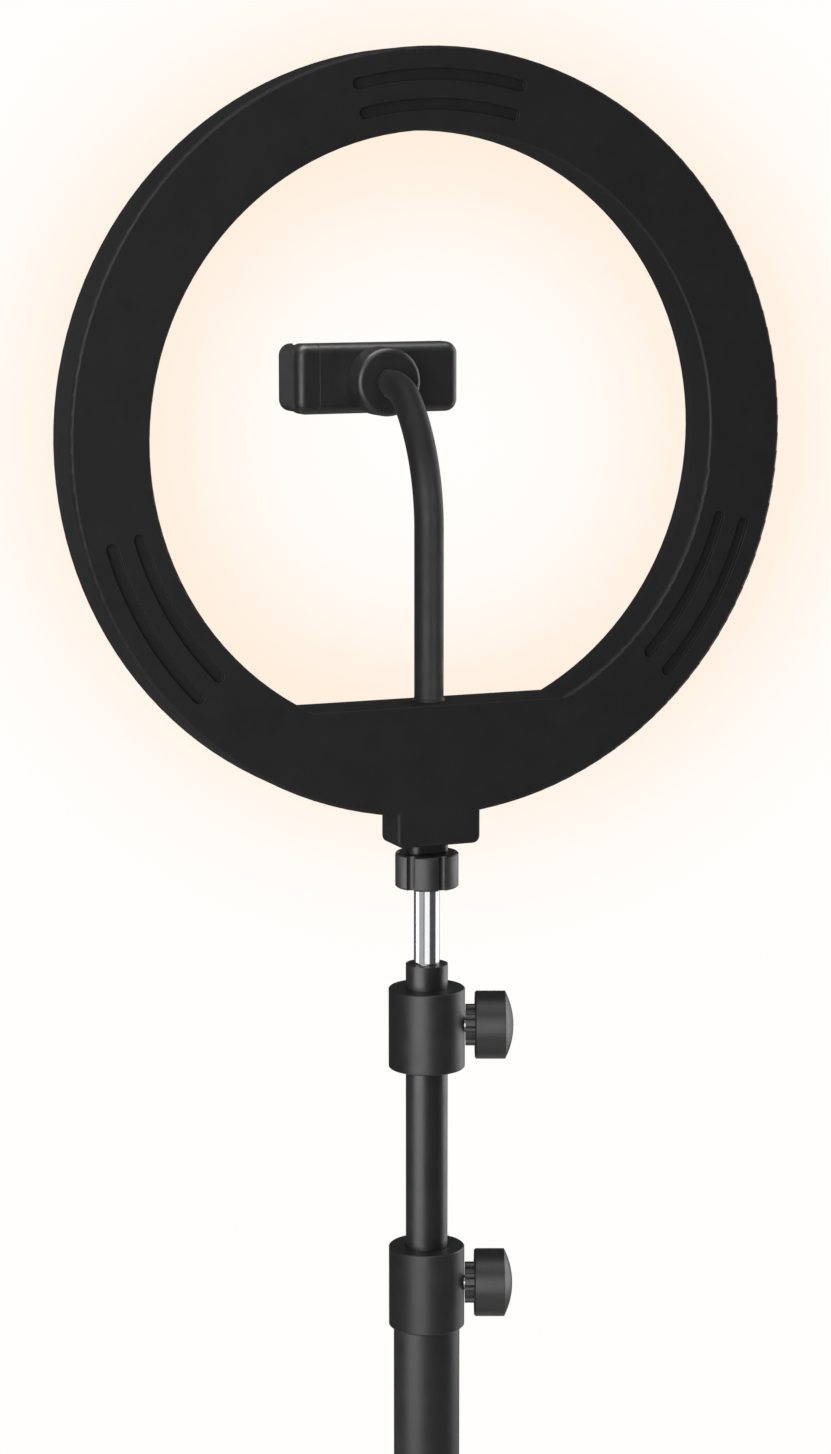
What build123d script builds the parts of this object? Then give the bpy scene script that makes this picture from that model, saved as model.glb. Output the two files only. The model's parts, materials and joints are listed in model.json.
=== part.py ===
from build123d import *
import os
from math import cos, pi, radians, sin, sqrt

# A ring light on a folding telescopic stand, with a gooseneck phone clamp inside the ring.
#
# Frame: +Z up, origin on the floor under the column. The light shines towards -Y, so the
# plain moulded back of the ring faces +Y. Sizes are in millimetres.

# ---- driving dimensions -------------------------------------------------------------------

running_gap = 0.05          # radial clearance of a shaft in its bore
face_gap = 0.1              # clearance between faces that turn on each other

# Ring head. Heights named "drop" are measured down from the ring's centre.
ring_height = 832.0         # ring centre above the floor
ring_outer_radius = 150.5
ring_inner_radius = 118.6
ring_depth = 22.0
head_offset = 2.0           # the ring's middle plane stands this far behind the column's axis
chord_drop = 105.6          # flat top of the bridge that crosses the bottom of the opening
wall = 2.2
back_wall = 3.0
split_y = -3.0              # joint line between the rear cover and the bezels
bezel_lip = 4.5
bezel_thickness = 1.5
edge_radius = 1.4
front_edge_radius = 0.8

groove_width = 4.7
groove_depth = 1.8
groove_radii = (128.4, 139.8)
groove_half_angle = 14.0
groove_angles = (90.0, 210.0, 330.0)

block_half_width = 17.9
block_drop = 162.7
block_front_y = -3.6
block_corner = 3.0
tilt_drop = 157.0           # tilt pin under the ring
tilt_pin_radius = 2.0
slot_half_width = 8.6
slot_back_y = 7.5           # the slot is open in front, where the head leans forward

led_rows = (127.6, 141.6)
leds_per_row = 36
led_size = 2.8
board_screw_radius = 134.6
grommet_angle = -108.0
grommet_y = 7.6
grommet_bore_radius = 2.1
grommet_radius = 3.2
grommet_low = 147.4
grommet_top = 150.3         # just below the rim's surface
flange_radius = 3.9
flange_low = 149.1

# Gooseneck, in the plane X = 0. It rises straight from the bridge and bends towards -Y.
neck_radius = 5.9
neck_bend_drop = 37.2       # height where the bend starts, below the ring centre
first_bend_radius = 66.0
first_bend_angle = 48.0
second_bend_radius = 24.0
second_bend_angle = 34.0
lower_hinge_drop = 76.0
upper_hinge_angle = 30.0    # along the first bend
hinge_half_gap = 3.0
hinge_ball_radius = 5.8
clamp_ball_radius = 6.0
ball_stem_radius = 3.2
ball_stem_length = 8.5      # from the neck's end to the ball's centre

# Phone clamp
socket_radius = 14.0
socket_back = 2.2           # behind the ball's centre
socket_front = 9.6          # in front of it
clamp_width = 71.5
clamp_height = 28.6
clamp_rise = 1.0            # clamp centre above the ball's centre
clamp_shell_depth = 9.5
clamp_depth = 21.0
clamp_edge_radius = 4.0
clamp_hook = 3.5
hook_height = 27.6
clamp_lip = 2.0
clamp_corner = 5.0
clamp_wall = 2.0
jaw_width = 10.0
rod_radius = 1.5
rod_spread = 7.0
pad_thickness = 1.0
post_radius = 4.0           # the clamp turns on this post in the socket

# Stand column
bottom_tube_radius = 13.55
bottom_tube_wall = 1.2
bottom_tube_low = 17.0
mid_tube_radius = 8.55
mid_tube_wall = 1.0
mid_tube_low = 150.0
mid_tube_top = 618.6
top_rod_radius = 5.25
top_rod_low = 330.0
top_rod_shoulder = 650.6
stud_radius = 3.175         # 1/4 inch stud
collar_radius = 15.5
collar_edge = 0.4
collar_1_low = 575.7
collar_1_top = 608.7
collar_2_low = 466.5
collar_2_top = 500.2
collar_lip = 4.2
guide_height = 20.0
lock_nut_radius = 12.9
lock_nut_height = 14.0
lock_nut_turn = 7.0
lock_nut_lobes = 6

# Clamp knobs
knob_turn = 157.4           # direction of the two column knobs, from +X
knob_neck_radius = 8.5
knob_neck_length = 3.8
knob_radius = 13.8
knob_straight = 12.3
knob_edge = 0.6
knob_rise = 0.9             # knob axes above the middles of their collars
knob_dome = 3.4
knob_screw_radius = 3.0
knob_flutes = 10

# Folding base
leg_turns = (-90.0, 30.0, 150.0)
hub_pivot_height = 282.0
pivot_radius = 26.0         # every hub and collar pivot stands this far from the axis
leg_spread = 50.0           # leg to the vertical
leg_length = 420.0
leg_half_width = 9.0
leg_wall = 1.5
leg_inner_edge = 4.5
leg_outer_edge = 8.5
leg_overhang = 8.0
brace_length = 115.0        # also the distance from the hub pivot to the brace pivot
brace_half_thickness = 3.0
brace_half_width = 4.0
eye_radius = 4.5
lug_eye_radius = 5.0
pin_radius = 2.0
brace_collar_radius = 17.5
brace_collar_half_height = 12.0
brace_knob_turn = 90.0

# ---- derived values -----------------------------------------------------------------------

back_y = head_offset + ring_depth / 2
front_y = head_offset - ring_depth / 2
board_front_y = back_y - back_wall - 5.0
board_back_y = board_front_y + 1.6
lip_back_y = front_y + bezel_thickness
tilt_height = ring_height - tilt_drop
lock_nut_top = top_rod_shoulder + lock_nut_height
bottom_tube_top = collar_2_top - collar_lip
bottom_tube_bore = bottom_tube_radius - bottom_tube_wall
mid_tube_bore = mid_tube_radius - mid_tube_wall
collar_1_middle = (collar_1_low + collar_1_top) / 2
collar_2_middle = (collar_2_low + collar_2_top) / 2
knob_1_height = collar_1_middle + knob_rise
knob_2_height = collar_2_middle + knob_rise
collar_pivot_height = hub_pivot_height - 2 * brace_length * cos(radians(leg_spread))
channel_inside = leg_half_width - leg_wall


# ---- helpers ------------------------------------------------------------------------------

def disc(radius, low, high, x=0.0, y=0.0):
    """An upright cylinder between two heights."""
    return Pos(x, y, (low + high) / 2) * Cylinder(radius, high - low)


def pipe(outer, inner, low, high, y=0.0):
    return disc(outer, low, high, 0, y) - disc(inner, low - 1, high + 1, 0, y)


def bevelled_disc(radius, low, high, edge):
    shape = disc(radius, low, high)
    return chamfer(shape.edges().filter_by(GeomType.CIRCLE), edge)


def bar(x, y, z):
    """A box given by its (low, high) limits on each axis."""
    centre = [(low + high) / 2 for low, high in (x, y, z)]
    return Pos(*centre) * Box(*[high - low for low, high in (x, y, z)])


def along(start, direction, radius, length):
    """A cylinder from a point along a direction."""
    plane = Plane(origin=start, z_dir=direction)
    return plane.location * Cylinder(radius, length, align=(Align.CENTER, Align.CENTER, Align.MIN))


def across(centre, radius, half_length):
    """A cylinder along Y, centred on a point."""
    x, y, z = centre
    return along((x, y - half_length, z), (0, 1, 0), radius, 2 * half_length)


def slab(sketch, back, front):
    """A sketch of the ring's (x, height over centre), extruded between two Y planes."""
    plane = Plane(origin=(0, back, ring_height), x_dir=(1, 0, 0), z_dir=(0, -1, 0))
    return extrude(plane * sketch, amount=back - front)


def annulus(outer, inner):
    return Circle(outer) - Circle(inner)


def ring_point(radius, angle):
    return radius * cos(radians(angle)), radius * sin(radians(angle))


def turned(shape, angle):
    """The shape turned about the column's axis."""
    return Rot(0, 0, angle) * shape


def save(name, shape):
    os.makedirs("parts", exist_ok=True)
    export_step(shape, f"parts/{name}.step")


def save_group(name, shapes):
    """Several separate solids of one kind, kept as one node."""
    save(name, Compound(children=[solid for shape in shapes for solid in shape.solids()]))


# ---- ring head ----------------------------------------------------------------------------

def opening(grow):
    """The ring's opening: a circle cut off flat by the bridge, grown outwards."""
    below = Pos(0, -chord_drop - grow - ring_outer_radius) * Rectangle(
        4 * ring_outer_radius, 2 * ring_outer_radius)
    return Circle(ring_inner_radius + grow) - below


def block_outline():
    height = block_drop - ring_outer_radius + 10
    outline = Pos(0, -block_drop + height / 2) * Rectangle(2 * block_half_width, height)
    return fillet(outline.vertices().sort_by(Axis.Y)[:2], radius=block_corner)


def tilt_slot():
    """The slot for the knuckle, open below and in front, and the hole for its pin."""
    slot = bar((-slot_half_width, slot_half_width), (front_y - 1, slot_back_y),
               (ring_height - block_drop - 1, ring_height - ring_outer_radius - 0.6))
    half_length = block_half_width - 2
    return slot + along((-half_length, 0, tilt_height), (1, 0, 0), tilt_pin_radius, 2 * half_length)


def groove(radius, angle):
    arc = CenterArc((0, 0), radius, angle - groove_half_angle, 2 * groove_half_angle)
    return SlotArc(arc, groove_width)


def screw_points():
    return [ring_point(board_screw_radius, 60.0 * i) for i in range(6)]


def led_points():
    step = 360 / leds_per_row
    return [ring_point(radius, step * (i + 0.5)) for radius in led_rows for i in range(leds_per_row)]


def dots(points, radius):
    return Sketch() + [Pos(x, y) * Circle(radius) for x, y in points]


def grommet_axis():
    x, z = ring_point(1.0, grommet_angle)
    return Vector(x, 0, z)


def grommet_point(radius):
    return Vector(0, grommet_y, ring_height) + grommet_axis() * radius


def neck_insert_low():
    return ring_height - chord_drop - 12.0


def rear_cover():
    shell = slab(Circle(ring_outer_radius) - opening(0), back_y, split_y)
    shell += slab(block_outline() - Circle(ring_outer_radius - wall / 2), back_y, split_y)
    rim = shell.edges().filter_by_position(Axis.Y, back_y - 0.01, back_y + 0.01)
    shell = fillet(rim, edge_radius)
    shell -= slab(Circle(ring_outer_radius - wall) - opening(wall), back_y - back_wall, split_y)
    bosses = slab(dots(screw_points(), 3.0), back_y - back_wall, board_back_y)
    screw_holes = slab(dots(screw_points(), 1.2), back_y - 2, board_back_y)
    neck_boss = bar((-8, 8), (split_y, back_y - back_wall),
                    (neck_insert_low() - 2, ring_height - chord_drop - wall))
    block_front = slab(block_outline() - Circle(ring_outer_radius + face_gap), split_y, block_front_y)
    shell = shell + bosses + neck_boss + block_front
    shell -= screw_holes
    shell -= disc(4.5, neck_insert_low(), ring_height - chord_drop, 0, head_offset)
    shell -= along(grommet_point(grommet_low), grommet_axis(), grommet_radius, 6)
    shell -= along(grommet_point(flange_low), grommet_axis(), flange_radius, 6)
    shell -= tilt_slot()
    for angle in groove_angles:
        for radius in groove_radii:
            shell -= slab(groove(radius, angle), back_y, back_y - groove_depth)
    return shell


def outer_bezel():
    ring = slab(annulus(ring_outer_radius, ring_outer_radius - wall), split_y, front_y)
    ring += slab(annulus(ring_outer_radius, ring_outer_radius - bezel_lip), lip_back_y, front_y)
    rim = ring.edges().filter_by_position(Axis.Y, front_y - 0.01, front_y + 0.01)
    return fillet(rim, front_edge_radius)


def inner_bezel():
    rim = slab(opening(wall) - opening(0), split_y, front_y)
    plate = Circle(ring_inner_radius + bezel_lip) - opening(0)
    bezel = rim + slab(plate, lip_back_y, front_y)
    edges = bezel.edges().filter_by_position(Axis.Y, front_y - 0.01, front_y + 0.01)
    return fillet(edges, front_edge_radius)


def diffuser():
    outer = ring_outer_radius - wall - 0.2
    inner = ring_inner_radius + wall + 0.2
    panel = slab(annulus(outer, inner), lip_back_y + 2, lip_back_y)
    dome_outer = ring_outer_radius - bezel_lip - 0.2
    dome_inner = ring_inner_radius + bezel_lip + 0.2
    return panel + slab(annulus(dome_outer, dome_inner), lip_back_y, front_y + 0.3)


def reflector():
    outer = ring_outer_radius - wall - 0.3
    inner = ring_inner_radius + wall + 0.3
    floor_y = board_front_y - 1.7
    floor = annulus(outer, inner) - dots(led_points(), 2.4)
    rims = annulus(outer, outer - 0.6) + annulus(inner + 0.6, inner)
    return slab(floor, floor_y, floor_y - 0.6) + slab(rims, floor_y, lip_back_y + 2.2)


def led_board():
    board = annulus(ring_outer_radius - wall - 1, ring_inner_radius + wall + 1)
    return slab(board - dots(screw_points(), 1.35), board_back_y, board_front_y)


def leds():
    chips = []
    for x, z in led_points():
        chips.append(Pos(x, board_front_y - 0.4, ring_height + z) * Box(led_size, 0.8, led_size))
    return chips


def board_screws():
    heads = []
    for point in screw_points():
        head = slab(dots([point], 2.2), board_front_y, board_front_y - 1.4)
        heads.append(head + slab(dots([point], 1.2), back_y - back_wall, board_front_y))
    return heads


def driver_board():
    """The power board behind the LED board, with its chips on the side towards the back wall."""
    height = ring_height - 130.0
    back = back_y - back_wall - 1.3
    board = bar((-48, -12), (back - 1.2, back), (height - 6, height + 7))
    for x, half in ((-42, 3.0), (-32, 4.0), (-21, 3.5)):
        board += bar((x - half, x + half), (back, back + 1.0), (height - 3, height + 3))
    return board


def cable_grommet():
    body = along(grommet_point(grommet_low), grommet_axis(), grommet_radius, grommet_top - grommet_low)
    flange = along(grommet_point(flange_low), grommet_axis(), flange_radius, grommet_top - flange_low)
    return body + flange - along(grommet_point(grommet_low - 1), grommet_axis(), grommet_bore_radius, 7)


def tilt_pin():
    half_length = block_half_width - 2
    return along((-half_length, 0, tilt_height), (1, 0, 0), tilt_pin_radius, 2 * half_length)


# ---- gooseneck ----------------------------------------------------------------------------

def neck_point(angle):
    """A point of the neck's centre line, as (y, height), where it has turned by an angle."""
    first = min(angle, first_bend_angle)
    y = head_offset - first_bend_radius * (1 - cos(radians(first)))
    z = ring_height - neck_bend_drop + first_bend_radius * sin(radians(first))
    if angle > first_bend_angle:
        y -= second_bend_radius * (cos(radians(first)) - cos(radians(angle)))
        z += second_bend_radius * (sin(radians(angle)) - sin(radians(first)))
    return y, z


def neck_direction(angle):
    return Vector(0, -sin(radians(angle)), cos(radians(angle)))


def neck_vector(angle):
    return Vector(0, *neck_point(angle))


def bend(start, end, radius):
    """A round bar along one of the neck's bends, between two angles of turn."""
    middle = (start + end) / 2
    path = ThreePointArc(neck_vector(start), neck_vector(middle), neck_vector(end))
    return sweep(Plane(origin=neck_vector(start), z_dir=neck_direction(start)) * Circle(radius), path)


def half_gap_angle():
    return hinge_half_gap / first_bend_radius * 180 / pi


lower_hinge = Vector(0, head_offset, ring_height - lower_hinge_drop)
upper_hinge = neck_vector(upper_hinge_angle)
neck_end_angle = first_bend_angle + second_bend_angle
ball_centre = neck_vector(neck_end_angle) + neck_direction(neck_end_angle) * ball_stem_length


def gooseneck_base():
    foot = ring_height - chord_drop
    spigot = disc(2.5, foot - 10, foot, 0, head_offset)
    stem = disc(neck_radius, foot, lower_hinge.Z - hinge_half_gap, 0, head_offset)
    return spigot + stem - Pos(lower_hinge) * Sphere(hinge_ball_radius + 2 * running_gap)


def gooseneck_lower():
    bend_start = ring_height - neck_bend_drop
    ball = Pos(lower_hinge) * Sphere(hinge_ball_radius)
    stem = disc(neck_radius, lower_hinge.Z + hinge_half_gap, bend_start, 0, head_offset)
    curve = bend(0, upper_hinge_angle - half_gap_angle(), neck_radius)
    socket = Pos(upper_hinge) * Sphere(hinge_ball_radius + 2 * running_gap)
    return ball + stem + curve - socket


def gooseneck_upper():
    ball = Pos(upper_hinge) * Sphere(hinge_ball_radius)
    curve = bend(upper_hinge_angle + half_gap_angle(), first_bend_angle, neck_radius)
    hook = bend(first_bend_angle, neck_end_angle, neck_radius)
    stem = along(neck_vector(neck_end_angle), neck_direction(neck_end_angle),
                 ball_stem_radius, ball_stem_length)
    return ball + curve + hook + stem + Pos(ball_centre) * Sphere(clamp_ball_radius)


def neck_insert():
    return pipe(4.5, 2.5, neck_insert_low(), ring_height - chord_drop, head_offset)


# ---- phone clamp --------------------------------------------------------------------------

clamp_back_y = ball_centre.Y - socket_front - face_gap
clamp_shell_y = clamp_back_y - clamp_shell_depth
clamp_front_y = clamp_back_y - clamp_depth
clamp_z = ball_centre.Z + clamp_rise
clamp_end = clamp_width / 2
jaw_x = clamp_end - jaw_width
rod_y = clamp_back_y - clamp_shell_depth / 2 - 0.3


def clamp_slab(sketch, back, front):
    plane = Plane(origin=(0, back, clamp_z), x_dir=(1, 0, 0), z_dir=(0, -1, 0))
    return extrude(plane * sketch, amount=back - front)


def clamp_bar():
    """The clamp's outer shape: a rounded bar with a hook at each end, before it is parted."""
    outline = RectangleRounded(clamp_width, clamp_height, clamp_corner)
    shell = clamp_slab(outline, clamp_back_y, clamp_shell_y)
    rim = shell.edges().filter_by_position(Axis.Y, clamp_back_y - 0.01, clamp_back_y + 0.01)
    shell = fillet(rim, clamp_edge_radius)
    hook_outline = RectangleRounded(clamp_width, hook_height, clamp_corner)
    gap = Rectangle(clamp_width - 2 * clamp_hook, clamp_height + 2)
    mouth = Rectangle(clamp_width - 2 * clamp_hook - 2 * clamp_lip, clamp_height + 2)
    hooks = clamp_slab(hook_outline - gap, clamp_shell_y, clamp_front_y)
    lips = clamp_slab(hook_outline - mouth, clamp_front_y + clamp_lip, clamp_front_y)
    return shell + hooks + lips


def guide_rod_points():
    return [(rod_y, clamp_z - rod_spread), (rod_y, clamp_z + rod_spread)]


def rods_along_x(low, high, radius):
    return [along((low, y, z), (1, 0, 0), radius, high - low) for y, z in guide_rod_points()]


def clamp_body():
    body = clamp_bar() & bar((-clamp_end - 1, jaw_x), (clamp_front_y - 1, clamp_back_y + 1),
                             (clamp_z - clamp_height, clamp_z + clamp_height))
    hollow = bar((-clamp_end + clamp_hook, jaw_x - 4), (clamp_shell_y, clamp_back_y - clamp_wall),
                 (clamp_z - clamp_height / 2 + clamp_wall, clamp_z + clamp_height / 2 - clamp_wall))
    body -= hollow
    for hole in rods_along_x(jaw_x - 5, jaw_x + 1, rod_radius + running_gap):
        body -= hole
    post_end = ball_centre.Y - clamp_ball_radius - 0.25
    post = along((0, clamp_back_y - 1, ball_centre.Z), (0, 1, 0), post_radius, post_end - clamp_back_y + 1)
    return body + post


def clamp_cover():
    """A plate let into the body's open front, which the phone's back rests on."""
    return bar((-clamp_end + clamp_hook, jaw_x - 4), (clamp_shell_y, clamp_shell_y + 1.2),
               (clamp_z - clamp_height / 2 + clamp_wall, clamp_z + clamp_height / 2 - clamp_wall))


def side_pad(low_x):
    """The pad on the inside of a hook."""
    half = hook_height / 2 - 2.5
    return bar((low_x, low_x + pad_thickness), (clamp_front_y + clamp_lip + 0.5, clamp_shell_y - 0.5),
               (clamp_z - half, clamp_z + half))


def clamp_pads():
    half = clamp_height / 2 - 3
    hook_x = -clamp_end + clamp_hook
    back = bar((hook_x + 3, jaw_x - 1), (clamp_shell_y - pad_thickness, clamp_shell_y),
               (clamp_z - half, clamp_z + half))
    return [back, side_pad(hook_x)]


def clamp_jaw():
    jaw = clamp_bar() & bar((jaw_x + face_gap, clamp_end + 1), (clamp_front_y - 1, clamp_back_y + 1),
                            (clamp_z - clamp_height, clamp_z + clamp_height))
    for hole in rods_along_x(jaw_x - 1, clamp_end - 2, rod_radius):
        jaw -= hole
    return jaw


def jaw_pad():
    return side_pad(clamp_end - clamp_hook - pad_thickness)


def jaw_rods():
    return rods_along_x(-clamp_end + 8, clamp_end - 2, rod_radius)


def jaw_clips():
    outer = rods_along_x(-clamp_end + 9, -clamp_end + 10, 2.6)
    inner = rods_along_x(-clamp_end + 8, -clamp_end + 11, rod_radius)
    return [clip - bore for clip, bore in zip(outer, inner)]


def jaw_springs():
    outer = rods_along_x(-clamp_end + 10.1, jaw_x - 4.1, 2.5)
    inner = rods_along_x(-clamp_end + 9, jaw_x, rod_radius + 0.3)
    return [coil - bore for coil, bore in zip(outer, inner)]


def ball_socket():
    """The round boss that holds the neck's ball, and turns on the clamp's post."""
    x, y, z = ball_centre
    boss = along((x, y - socket_front, z), (0, 1, 0), socket_radius, socket_front + socket_back)
    rim = boss.edges().filter_by_position(Axis.Y, y + socket_back - 0.01, y + socket_back + 0.01)
    boss = fillet(rim, 2.5)
    boss -= Pos(ball_centre) * Sphere(clamp_ball_radius + running_gap)
    bore_end = y - sqrt(clamp_ball_radius ** 2 - post_radius ** 2)
    return boss - along((x, y - socket_front - 1, z), (0, 1, 0), post_radius + running_gap,
                        bore_end - y + socket_front + 1)


# ---- stand column -------------------------------------------------------------------------

def screw_hole(angle, height, radius):
    return turned(along((0, 0, height), (1, 0, 0), radius, 40), angle)


def bottom_tube():
    tube = pipe(bottom_tube_radius, bottom_tube_bore, bottom_tube_low, bottom_tube_top)
    return tube - screw_hole(knob_turn, knob_2_height, knob_screw_radius + running_gap)


def bottom_tube_bush():
    bush = pipe(bottom_tube_bore, mid_tube_radius + running_gap, collar_2_low, bottom_tube_top)
    return bush - screw_hole(knob_turn, knob_2_height, knob_screw_radius + running_gap)


def collar_2():
    collar = bevelled_disc(collar_radius, collar_2_low, collar_2_top, collar_edge)
    collar -= disc(bottom_tube_radius, collar_2_low - 1, bottom_tube_top)
    collar -= disc(mid_tube_radius + 4 * running_gap, bottom_tube_top - 1, collar_2_top + 1)
    return collar - screw_hole(knob_turn, knob_2_height, knob_screw_radius + running_gap)


def tube_end_cap():
    flange = disc(bottom_tube_radius + 1.2, bottom_tube_low - 3, bottom_tube_low)
    return flange + disc(bottom_tube_bore, bottom_tube_low - 1, bottom_tube_low + 12)


def mid_tube():
    tube = pipe(mid_tube_radius, mid_tube_bore, mid_tube_low, mid_tube_top)
    return tube - screw_hole(knob_turn, knob_1_height, knob_screw_radius + running_gap)


def mid_tube_bush():
    bush = pipe(mid_tube_bore, top_rod_radius + running_gap, collar_1_low, mid_tube_top)
    return bush - screw_hole(knob_turn, knob_1_height, knob_screw_radius + running_gap)


def mid_tube_guide():
    return pipe(bottom_tube_bore - running_gap, mid_tube_radius, mid_tube_low, mid_tube_low + guide_height)


def collar_1():
    collar = bevelled_disc(collar_radius, collar_1_low, collar_1_top, collar_edge)
    collar -= disc(mid_tube_radius, collar_1_low - 1, collar_1_top + 1)
    return collar - screw_hole(knob_turn, knob_1_height, knob_screw_radius + running_gap)


def top_rod():
    """The plated rod with a 1/4 inch stud on top."""
    rod = disc(top_rod_radius, top_rod_low, top_rod_shoulder)
    rod = chamfer(rod.edges().sort_by(Axis.Z)[-1], 0.6)
    return rod + disc(stud_radius, top_rod_shoulder - 1, lock_nut_top + 6)


def top_rod_guide():
    return pipe(mid_tube_bore - running_gap, top_rod_radius, top_rod_low, top_rod_low + guide_height)


def lock_nut():
    """A hand nut with six lobes that locks the head on the stud."""
    nut = bevelled_disc(lock_nut_radius, top_rod_shoulder + face_gap, lock_nut_top, 0.6)
    for i in range(lock_nut_lobes):
        angle = lock_nut_turn + 360 / lock_nut_lobes * (i + 0.5)
        x, y = ring_point(lock_nut_radius - 0.1, angle)
        nut -= disc(1.9, top_rod_shoulder - 1, lock_nut_top + 1, x, y)
    return nut - disc(stud_radius + running_gap, top_rod_shoulder - 1, lock_nut_top + 1)


def tilt_knuckle():
    """The oblong neck that turns on the stud, with the eye for the tilt pin."""
    half_width = slot_half_width - face_gap
    eye = along((-half_width, 0, tilt_height), (1, 0, 0), lug_eye_radius, 2 * half_width)
    stem = bar((-half_width, half_width), (-lug_eye_radius, lug_eye_radius),
               (lock_nut_top + face_gap, tilt_height))
    corners = stem.edges().filter_by(Axis.Z)
    stem = fillet(corners, 4.0) + bar((-half_width + 4, half_width - 4), (-5, 5), (tilt_height - 4, tilt_height))
    pin_hole = along((-half_width - 1, 0, tilt_height), (1, 0, 0),
                     tilt_pin_radius + running_gap, 2 * half_width + 2)
    return stem + eye - pin_hole - disc(4.2, lock_nut_top, lock_nut_top + 6.6)


def knuckle_insert():
    return pipe(4.2, stud_radius + running_gap, lock_nut_top + face_gap, lock_nut_top + 6.6)


def knob_flute_ring(start, height, neck_radius_here, length, count):
    flutes = []
    for i in range(count):
        y, z = ring_point(neck_radius_here + 0.4, 360 / count * i)
        flutes.append(along((start - 1, y, height + z), (1, 0, 0), 1.5, length + 1))
    return flutes


def knob(start, height, scale):
    """A clamp knob on an axis along +X: a fluted neck, then a head with a domed end."""
    neck_r = knob_neck_radius * scale
    head_r = knob_radius * scale
    neck_end = knob_neck_length
    straight_end = neck_end + knob_straight * scale
    tip = straight_end + knob_dome * scale
    side = Polyline((0, 0), (neck_r, 0), (neck_r, neck_end), (head_r - knob_edge, neck_end),
                    (head_r, neck_end + knob_edge), (head_r, straight_end))
    sphere_radius = (head_r ** 2 + (tip - straight_end) ** 2) / (2 * (tip - straight_end))
    middle = (head_r / 2, tip - sphere_radius + sqrt(sphere_radius ** 2 - head_r ** 2 / 4))
    dome = ThreePointArc((head_r, straight_end), middle, (0, tip))
    profile = make_face([*side.edges(), dome, Line((0, tip), (0, 0))])
    shape = revolve(profile, Axis.Y)
    shape = Pos(start, 0, height) * (Rot(0, 0, -90) * shape)
    for flute in knob_flute_ring(start, height, neck_r, neck_end, knob_flutes):
        shape -= flute
    return shape


def knob_and_screw(turn, start, height, tip, screw_radius, scale):
    """The knob, and the screw moulded into it whose tip presses on the tube."""
    head = knob(start, height, scale)
    screw_end = start + knob_neck_length + 8 * scale
    screw = along((tip, 0, height), (1, 0, 0), screw_radius, screw_end - tip)
    return turned(head - screw, turn), turned(screw, turn)


# ---- folding base -------------------------------------------------------------------------

spread_sin = sin(radians(leg_spread))
spread_cos = cos(radians(leg_spread))
leg_frame = Plane(origin=(pivot_radius, 0, hub_pivot_height),
                  x_dir=(spread_sin, 0, -spread_cos), z_dir=(0, -1, 0)).location
brace_pivot = Vector(pivot_radius + brace_length * spread_sin, 0,
                     hub_pivot_height - brace_length * spread_cos)
collar_pivot = Vector(pivot_radius, 0, collar_pivot_height)


def leg():
    """A channel along its own X, open on the side towards the column."""
    outside = bar((-leg_overhang, leg_length), (-leg_inner_edge, leg_outer_edge),
                  (-leg_half_width, leg_half_width))
    corners = outside.edges().filter_by(Axis.X).sort_by(Axis.Y)[-2:]
    outside = fillet(corners, leg_wall)
    inside = bar((-leg_overhang - 1, leg_length + 1), (-leg_inner_edge - 1, leg_outer_edge - leg_wall),
                 (-channel_inside, channel_inside))
    channel = outside - inside
    for x, radius in ((0, pin_radius + running_gap), (brace_length, pin_radius)):
        channel -= Pos(x, 0, 0) * Cylinder(radius, 4 * leg_half_width)
    return leg_frame * channel


def foot():
    """A rubber boot over the leg's end, flat on the floor."""
    grip = 2.0
    boot = bar((leg_length - 34, leg_length + 18),
               (-leg_inner_edge - grip, leg_outer_edge + grip),
               (-leg_half_width - grip, leg_half_width + grip))
    boot = leg_frame * fillet(boot.edges().filter_by(Axis.X), 2.0)
    boot -= leg()
    return boot - bar((0, 500), (-50, 50), (-60, 0))


def riveted_pin(centre, half_length, head_length):
    """A pin along Y with a head just outside each end."""
    pin = across(centre, pin_radius, half_length + head_length)
    x, y, z = centre
    for side in (-1, 1):
        middle = y + side * (half_length + head_length / 2)
        pin += across((x, middle, z), 1.7 * pin_radius, head_length / 2)
    return pin


def brace():
    start = brace_pivot
    direction = (collar_pivot - brace_pivot).normalized()
    frame = Plane(origin=start, x_dir=direction, z_dir=(0, -1, 0)).location
    strip = bar((0, brace_length), (-brace_half_width, brace_half_width),
                (-brace_half_thickness, brace_half_thickness))
    strip += Cylinder(eye_radius, 2 * (channel_inside - face_gap))
    strip += Pos(brace_length, 0, 0) * Cylinder(eye_radius, 2 * brace_half_thickness)
    for x in (0, brace_length):
        strip -= Pos(x, 0, 0) * Cylinder(pin_radius + running_gap, 40)
    return frame * strip


def lug(centre, inner_x, half_width):
    """A tongue from the sleeve out to a pivot, rounded about it."""
    x, y, z = centre
    arm = bar((inner_x, x), (-half_width, half_width), (z - lug_eye_radius, z + lug_eye_radius))
    return arm + across(centre, lug_eye_radius, half_width)


def leg_hub():
    hub = pipe(bottom_tube_radius + 2.5, bottom_tube_radius, hub_pivot_height - 12, hub_pivot_height + 14)
    centre = (pivot_radius, 0, hub_pivot_height)
    tongue = lug(centre, bottom_tube_radius + 1, channel_inside - face_gap)
    tongue -= across(centre, pin_radius, 20)
    tongue -= disc(bottom_tube_radius, hub_pivot_height - 20, hub_pivot_height + 20)
    for turn in leg_turns:
        hub += turned(tongue, turn)
    return hub


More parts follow.
